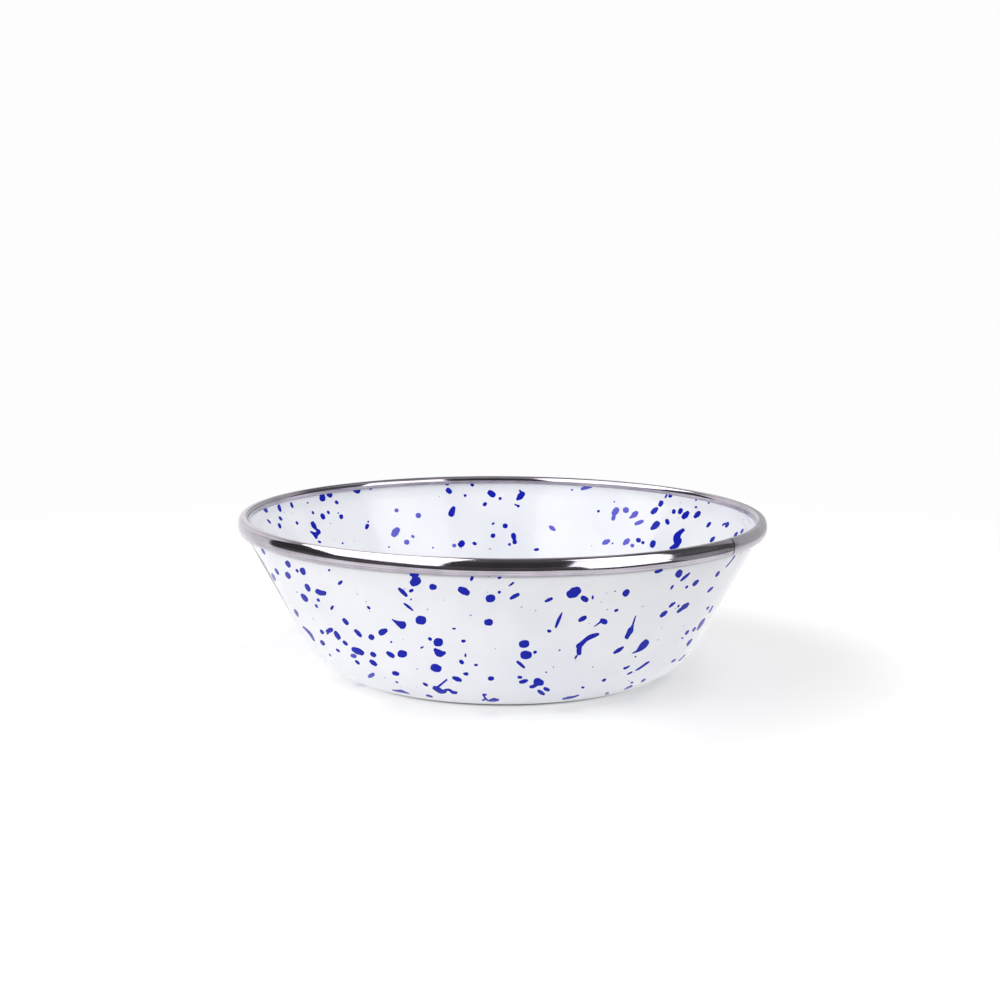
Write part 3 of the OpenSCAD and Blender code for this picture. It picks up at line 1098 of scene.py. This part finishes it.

# %% [markdown]
# ## White enamel
# Enamel is glass with a white filler: a clear, smooth skin over a white body. It is not perfectly
# even. The white is a shade cooler where the coat is thin over the dark ground coat, the skin has
# a faint orange peel, and use leaves small grey scuffs where metal has rubbed on it. Where the wall
# goes up under the rim, and on the lip under the band, the enamel is darkened in patches: that is
# painted shade. Each noise is named for what it makes and has its scale in waves per metre. A step
# is where it starts and is complete.

# %% Finish of the white enamel
WHITE = (0.792, 0.799, 0.828, 1)
WHITE_THIN = (0.742, 0.754, 0.798, 1)
CLOUDS = 38
CLOUD_STEP = (0.35, 0.7)
SCUFF = (0.55, 0.55, 0.58, 1)
SCUFF_SHARE = 0.35
RUBS = 55
RUB_STEP = (0.6, 0.75)
SCRATCHES = 900
SCRATCH_STEP = (0.6, 0.72)
# Painted shade under the rim band: from these radii outwards the enamel is darkened, in patches.
RIM_SHADE = (0.04, 0.04, 0.045, 1)
RIM_SHADE_FROM = 96.3 * MM
RIM_SHADE_TO = 97.05 * MM
RIM_SHADE_PATCHES = 300
HAZE = 70
ORANGE_PEEL = 420
ORANGE_PEEL_H = 0.006 * MM
GLASS_IOR = 1.52
GLASS_SHINE = 0.3

white_enamel, shader, place = finish_for("white_enamel")
cloud = place.noise(CLOUDS, 3).between(*CLOUD_STEP)
body = cloud.mix(WHITE, WHITE_THIN)
rubbed = place.noise(RUBS, 4, 0.6).between(*RUB_STEP)
scratch = place.noise(SCRATCHES, 2, 0.7).between(*SCRATCH_STEP)
scuffs = rubbed * scratch
# Painted shade: the enamel under and just below the rim band is darkened, in patches.
shade_patches = 0.8 + 0.3 * place.noise(RIM_SHADE_PATCHES)
rim_shade = place.from_axis().between(RIM_SHADE_FROM, RIM_SHADE_TO) * shade_patches
feed(
    shader,
    Base_Color=rim_shade.mix((scuffs * SCUFF_SHARE).mix(body, SCUFF), RIM_SHADE),
    Roughness=0.07 + 0.05 * place.noise(HAZE) + 0.2 * scuffs,
    Normal=place.noise(ORANGE_PEEL, 1).bump(ORANGE_PEEL_H),
    IOR=GLASS_IOR,
    Specular_IOR_Level=GLASS_SHINE,
)
for piece in (enamel_outside, enamel_inside):
    piece.data.materials.append(white_enamel)
print("white enamel on", enamel_outside.name, "and", enamel_inside.name)

# %% [markdown]
# ## Cobalt enamel
# Cobalt glass is strong: a full drop is a deep blue, and only its thin edge shows violet. The film
# attribute of each point says how deep the colour is there.

# %% Finish of the cobalt drops
COBALT = (0.008, 0.015, 0.37, 1)
VIOLET = (0.15, 0.14, 0.62, 1)
FILM_CLOUDS = 260
FILM_UNEVEN = 0.16
FILM_STEP = (0.3, 0.85)
DROP_HAZE = 180
DROP_PEEL = 600
DROP_PEEL_H = 0.004 * MM
DROP_SHINE = 0.08

cobalt, shader, place = finish_for("cobalt_enamel")
film = place.node("ShaderNodeAttribute", {"attribute_name": "film"}, {}, output="Fac")
uneven = FILM_UNEVEN * place.noise(FILM_CLOUDS, 2) - FILM_UNEVEN / 2
depth = (film + uneven).between(*FILM_STEP)
feed(
    shader,
    Base_Color=depth.mix(VIOLET, COBALT),
    Roughness=0.08 + 0.06 * place.noise(DROP_HAZE),
    Normal=place.noise(DROP_PEEL, 1).bump(DROP_PEEL_H),
    Specular_IOR_Level=DROP_SHINE,
)
for name in ("drops_outside", "drops_inside"):
    bpy.data.objects[name].data.materials.append(cobalt)
print("cobalt on both meshes of drops")

# %% [markdown]
# ## Stainless steel
# The strip is polished along its length while it is rolled, so its fine lines run round the rim.
# We read the direction round the bowl and the angle round the strip from the position, and stretch
# a noise along the first and squeeze it along the second. Dirt stays on the cut ends at the seam.

# %% Finish of the stainless rim
STEEL_BRIGHT = (0.54, 0.498, 0.556, 1)
STEEL_DULL = (0.34, 0.312, 0.354, 1)
STRETCH = 7.0
SQUEEZE = 26.0
FINE_LINES = 3.0
STREAKS = 0.3
STREAK_SHARE = 0.65
SMEARS = 90
SMEAR_SHARE = 0.35
POLISH_STEP = (0.38, 0.64)
LINE_H = 0.0006 * MM
SEAM_DIRT = (0.09, 0.08, 0.085, 1)
DIRT_SHARE = 0.85
DIRT_FROM = 0.3 * MM
DIRT_TO = 0.65 * MM

stainless, shader, place = finish_for("stainless_steel")
east, north, height = place.axes()
round_bowl = east.maths("ARCTAN2", north, east)
round_strip = east.maths("ARCTAN2", height - RIM_MID[1], place.from_axis() - RIM_MID[0])
sockets = {0: round_bowl * STRETCH, 1: round_strip * SQUEEZE, 2: 0.0}
along = place.node("ShaderNodeCombineXYZ", {}, sockets)
lines = along.noise(FINE_LINES, 4, 0.65)
smears = place.noise(SMEARS, 3)
streaks = along.noise(STREAKS, 2)
worn = (SMEAR_SHARE * smears + STREAK_SHARE * streaks).between(*POLISH_STEP)
off_seam = round_bowl - math.radians(SEAM_AZ)
from_seam = off_seam.maths("ABSOLUTE", off_seam)
dirt = 1 - from_seam.between(DIRT_FROM / RIM_R, DIRT_TO / RIM_R)
feed(
    shader,
    Base_Color=(DIRT_SHARE * dirt).mix(worn.mix(STEEL_BRIGHT, STEEL_DULL), SEAM_DIRT),
    Metallic=1.0,
    Roughness=0.035 + 0.07 * lines + 0.03 * smears,
    Normal=lines.bump(LINE_H),
)
rim_strip.data.materials.append(stainless)
print("stainless steel on", rim_strip.name)

# %% [markdown]
# ## Steel and ground coats inside the wall
# Nobody sees these, but they are there: the pressed sheet, and on each side the dark ground coat
# that makes glass stick to steel. The CAD solids already have the right shape and only get finishes.

# %% Finishes of the hidden layers
SHEET_DARK = (0.40, 0.40, 0.42, 1)
SHEET_LIGHT = (0.46, 0.46, 0.48, 1)
SHEET_GRAIN = 300
GROUND = (0.022, 0.026, 0.05, 1)
GROUND_FLECK = (0.06, 0.065, 0.09, 1)
FLECKS = 1200
FLECK_STEP = (0.6, 0.7)
GROUND_HAZE = 200

sheet, shader, place = finish_for("sheet_steel")
grain = place.noise(SHEET_GRAIN, 3)
feed(
    shader,
    Base_Color=grain.mix(SHEET_DARK, SHEET_LIGHT),
    Metallic=1.0,
    Roughness=0.35 + 0.15 * grain,
)
ground, shader, place = finish_for("ground_enamel")
fleck = place.noise(FLECKS, 2).between(*FLECK_STEP)
feed(
    shader,
    Base_Color=fleck.mix(GROUND, GROUND_FLECK),
    Roughness=0.18 + 0.1 * place.noise(GROUND_HAZE),
)
hidden = {"steel_bowl": sheet, "ground_coat_inside": ground, "ground_coat_outside": ground}
for node, finish in hidden.items():
    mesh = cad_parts[node].data
    mesh.materials.clear()
    mesh.materials.append(finish)
print("finishes on the hidden layers")

# %% [markdown]
# ## Floor
# The bowl stands on a plain white sheet. It is a wide disc of rings just under the foot, so that the
# two never share a plane.

# %% Plain white floor
FLOOR_R = 1.6
FLOOR_DROP = 0.03 * MM
FLOOR_RINGS = 24
FLOOR_SIDES = 96

rings = [FLOOR_R * (i + 1) / FLOOR_RINGS for i in range(FLOOR_RINGS)]
points = [(0, 0, -FLOOR_DROP)]
for ring in rings:
    for side in range(FLOOR_SIDES):
        turn = 2 * math.pi * side / FLOOR_SIDES
        points.append((ring * math.cos(turn), ring * math.sin(turn), -FLOOR_DROP))
faces = [(0, 1 + i, 1 + (i + 1) % FLOOR_SIDES) for i in range(FLOOR_SIDES)]
for row in range(FLOOR_RINGS - 1):
    for i in range(FLOOR_SIDES):
        low, high = 1 + row * FLOOR_SIDES, 1 + (row + 1) * FLOOR_SIDES
        following = (i + 1) % FLOOR_SIDES
        faces.append((low + i, high + i, high + following, low + following))
floor = new_piece("floor", points, faces)
print("floor", FLOOR_R, "m in radius")

# %% [markdown]
# ## Glowing paper, with painted shadows
# The sheet glows, as if a table of light shone through it from below: painted light that keeps the
# shadow under a thing soft. Over a disc as wide as the foot the glow is off, a painted contact shadow
# that keeps a thin dark line where the bowl stands. To the camera the glow is weaker on the right, a
# painted shadow that deepens the soft shadow there. Further out the sheet fades into the white of the
# studio, so that no edge or horizon shows.

# %% Finish of the floor
PAPER = (0.55, 0.55, 0.553, 1)
PAPER_FIBRE = (0.57, 0.57, 0.573, 1)
FIBRES = 500
PAPER_ROUGH = 0.75
BLACK = (0, 0, 0, 1)
LIT = (1, 1, 1, 1)
FLOOR_GLOW = 0.45
# Painted contact shadow: the glow is off under the foot and comes on between these radii.
CONTACT_SHADOW_FROM = 51.5 * MM
CONTACT_SHADOW_TO = 56 * MM
# Painted shadow on the right: how much of the glow the camera loses there, and over what stretch.
RIGHT_SHADOW_DEPTH = 0.45
RIGHT_SHADOW_FROM = 10 * MM
RIGHT_SHADOW_TO = 75 * MM
RIGHT_SHADOW_FADE = 120 * MM
RIGHT_SHADOW_END = 210 * MM
FADE_FROM = 160 * MM
FADE_TO = 500 * MM

paper, shader, place = finish_for("white_paper")
far = place.length()
east = place.axes()[0]
in_view = place.node("ShaderNodeLightPath", {}, {}, output="Is Camera Ray")
# Painted shadow, for the camera only: right of the bowl, fading further out.
right_shadow = east.between(RIGHT_SHADOW_FROM, RIGHT_SHADOW_TO) * (1 - far.between(RIGHT_SHADOW_FADE, RIGHT_SHADOW_END))
# The painted glow, with the painted contact shadow under the foot and the painted shadow on the right.
glow_and_painted_shadows = far.between(CONTACT_SHADOW_FROM, CONTACT_SHADOW_TO) * (1 - RIGHT_SHADOW_DEPTH * in_view * right_shadow)
feed(
    shader,
    Base_Color=place.noise(FIBRES, 2).mix(PAPER, PAPER_FIBRE),
    Roughness=PAPER_ROUGH,
    Alpha=1 - far.between(FADE_FROM, FADE_TO),
    Emission_Color=glow_and_painted_shadows.mix(BLACK, LIT),
    Emission_Strength=FLOOR_GLOW,
)
floor.data.materials.append(paper)
print("glowing paper on the floor")

# %% [markdown]
# ## Soft lights
# White enamel wants light from all round. The strongest soft light stands on the left. Two others
# look into the bowl from high on the right, so that they light its inside more than its right wall.
# A low one stands in front and one hangs above. Each has a place, a width and height in metres, and
# a power in watts. Mirrors do not see these five: what the rim mirrors is set by itself afterwards.

# %% Soft lights
SOFT_LIGHTS = {
    "left_light": ((-1.0, -0.55, 0.75), (1.4, 1.5), 15),
    "right_light": ((0.75, -0.35, 1.35), (1.0, 1.0), 11),
    "far_light": ((1.0, 0.35, 1.0), (1.0, 1.0), 6.5),
    "front_light": ((0, -1.5, 0.40), (1.8, 0.7), 5.1),
    "top_light": ((0, 0.1, 1.8), (1.6, 1.6), 5),
}


def soft_light(name, place, size, power):
    """A rectangular light at a place, turned towards the bowl, that mirrors do not show."""
    lamp = bpy.data.lights.new(name, "AREA")
    lamp.shape = "RECTANGLE"
    lamp.size, lamp.size_y = size
    lamp.energy = power
    light = bpy.data.objects.new(name, lamp)
    light.location = place
    towards = Vector((0, 0, BOWL_H / 2)) - Vector(place)
    light.rotation_euler = towards.to_track_quat("-Z", "Y").to_euler()
    light.visible_camera = False
    light.visible_glossy = False
    bpy.context.collection.objects.link(light)


for name, (place, size, power) in SOFT_LIGHTS.items():
    soft_light(name, place, size, power)
print(len(SOFT_LIGHTS), "soft lights")

# %% [markdown]
# ## What the rim mirrors
# A polished rim shows the whole studio, so its look depends on what stands around it. A tall white
# card leans over the bowl from each side and gives the rim its two long white reflections. The cards
# are seen by mirrors only, so they can be moved without changing the light.

# %% Two tall cards
CARD_GLOW = 2.8
CARD_COOL = (0.98, 0.98, 1, 1)
CARD_CLOUDS = 3
LEFT_CARD = [
    (-1.05, -0.02, 0.50), (-1.12, -0.38, 0.17), (-0.85, -0.85, 0.08), (-0.50, -1.08, -0.03),
    (-0.42, -1.03, 0.50), (-0.28, -0.68, 0.96), (-0.11, 0.00, 1.15), (-0.12, 0.65, 0.87),
    (-0.45, 0.68, 0.78), (-0.96, 0.10, 0.67),
]
RIGHT_CARD = [
    (0.52, -1.07, -0.05), (0.55, -0.95, 0.50), (0.34, -0.34, 1.09), (0.45, -0.05, 1.07),
    (0.69, 0.04, 0.95), (0.98, -0.25, 0.63), (1.12, -0.35, 0.15), (1.12, -0.35, -0.06),
]


def card(name, points, faces, glow):
    """A glowing card that only mirrors show."""
    piece = new_piece(name, points, faces)
    for ray in ("camera", "diffuse", "transmission", "volume_scatter", "shadow"):
        setattr(piece, "visible_" + ray, False)
    finish, shader, place = finish_for(name)
    tone = place.noise(CARD_CLOUDS).mix(CARD_COOL, LIT)
    feed(shader, Base_Color=BLACK, Roughness=1.0, Emission_Color=tone, Emission_Strength=glow)
    piece.data.materials.append(finish)


def fan(corners):
    """Points and faces of a card with a point in its middle, from its corners in order."""
    middle = sum((Vector(corner) for corner in corners), Vector()) / len(corners)
    faces = [(0, 1 + i, 1 + (i + 1) % len(corners)) for i in range(len(corners))]
    return [middle, *corners], faces


card("left_card", *fan(LEFT_CARD), CARD_GLOW)
card("right_card", *fan(RIGHT_CARD), CARD_GLOW)
print("two tall cards")

# %% [markdown]
# ## Sheets around the paper
# Low down, the rim mirrors what lies on the floor. On the right a white sheet and a grey one lie
# there, with a dark line before them, and in front a wide dark sheet. A narrow dark sheet behind the
# bowl draws the fine grey line along the left outline of its wall, where the glass is seen at a flat
# angle and mirrors most.

# %% Sheets on the floor
SHEET_UP = 1 * MM
FELT = 0.06
GREY = 0.38
RIGHT_SHEET = [
    (0.12, -0.21), (0.62, -1.10), (1.12, -0.40), (0.27, -0.13), (0.20, -0.17), (0.14, -0.19),
]
GREY_SHEET = [(0.19, -0.07), (0.27, -0.13), (1.12, -0.40), (1.00, 0.30), (0.22, 0.03)]
DARK_NEAR = [
    (-0.34, 0.06), (-0.32, -0.05), (-0.245, -0.115), (-0.155, -0.19), (0.0, -0.202),
    (0.068, -0.195), (0.095, -0.17),
]
DARK_SPREAD = 4.0
RIM_LINE = [(0.095, -0.17), (0.105, -0.15), (0.152, -0.123), (0.19, -0.07)]
FAR_LINE = [(0.12, -0.21), (0.14, -0.19), (0.20, -0.17), (0.27, -0.13)]
EDGE_SHEET = [
    (-0.045, 0.075), (-0.075, 0.06), (-0.10, 0.085), (-0.135, 0.13),
    (-0.15, 0.30), (-0.16, 0.60), (-0.09, 0.60), (-0.065, 0.30),
]


def lifted(places, up):
    """Points at one height, from their x and y."""
    return [(x, y, up) for x, y in places]


def ribbon(near, far):
    """Points and faces of a sheet on the floor that lies between two lines."""
    points = lifted([place for pair in zip(near, far) for place in pair], SHEET_UP)
    faces = [(2 * i, 2 * i + 1, 2 * i + 3, 2 * i + 2) for i in range(len(near) - 1)]
    return points, faces


card("right_sheet", *fan(lifted(RIGHT_SHEET, SHEET_UP)), CARD_GLOW)
card("grey_sheet", *fan(lifted(GREY_SHEET, SHEET_UP)), GREY)
dark_far = [(x * DARK_SPREAD, y * DARK_SPREAD) for x, y in DARK_NEAR]
card("dark_sheet", *ribbon(DARK_NEAR, dark_far), FELT)
card("dark_line", *ribbon(RIM_LINE, FAR_LINE), FELT)
card("edge_sheet", *fan(lifted(EDGE_SHEET, SHEET_UP)), FELT)
print("five sheets on the floor")

# %% [markdown]
# ## A card over the bowl
# The back of the rim mirrors what hangs right above the bowl. A small grey card there softens its
# dark stretches.

# %% Card over the bowl
BACK_GLOW = 0.45
BACK_UP = 0.25
BACK_CARD = [(-0.015, 0.0), (0.10, 0.0), (0.10, 0.2), (-0.015, 0.2)]

card("back_card", *fan(lifted(BACK_CARD, BACK_UP)), BACK_GLOW)
print("a grey card", BACK_UP, "m over the floor")

# %% [markdown]
# ## Studio
# Around all this the studio is dim, with a bright wall behind the bowl on the left and a greyer one
# on the right, each between two directions in radians. That is what the enamel and the rim see. To
# the camera the studio is plain white, as the paper is.

# %% Studio around the bowl
LEFT_SIDE_FROM = (1.52, 1.66)
LEFT_SIDE_TO = (2.64, 2.70)
LEFT_SIDE_GLOW = 0.95
RIGHT_SIDE_FROM = (0.44, 0.54)
RIGHT_SIDE_TO = (1.52, 1.66)
RIGHT_SIDE_GLOW = 0.52
SIDES_TOP = (0.5, 0.68)
DIM_GLOW = 0.06
CEILING_GLOW = 0.1
CEILING_STEP = (0.3, 1.0)
EAST_GLOW = 0.08
EAST_STEP = (0.75, 0.92)
VIEW_WHITE = 0.985
STUDIO_TINT = (1, 1, 1.01, 1)

world = bpy.data.worlds.new("studio")
world.use_nodes = True
bpy.context.scene.world = world
sky = Wire(world.node_tree)
background = world.node_tree.nodes["Background"]
east, north, up = sky.node("ShaderNodeTexCoord", {}, {}, output="Generated").axes()
around = east.maths("ARCTAN2", north, east)
left_side = around.between(*LEFT_SIDE_FROM) - around.between(*LEFT_SIDE_TO)
right_side = around.between(*RIGHT_SIDE_FROM) - around.between(*RIGHT_SIDE_TO)
sides = LEFT_SIDE_GLOW * left_side + RIGHT_SIDE_GLOW * right_side
dim = DIM_GLOW + CEILING_GLOW * up.between(*CEILING_STEP) + EAST_GLOW * east.between(*EAST_STEP)
level = dim + sides * (1 - up.between(*SIDES_TOP))
seen = sky.node("ShaderNodeLightPath", {}, {}, output="Is Camera Ray")
feed(background, Color=STUDIO_TINT, Strength=level * (1 - seen) + VIEW_WHITE * seen)
bpy.context.scene.view_settings.view_transform = "Standard"
print("studio with two sides")

# %% [markdown]
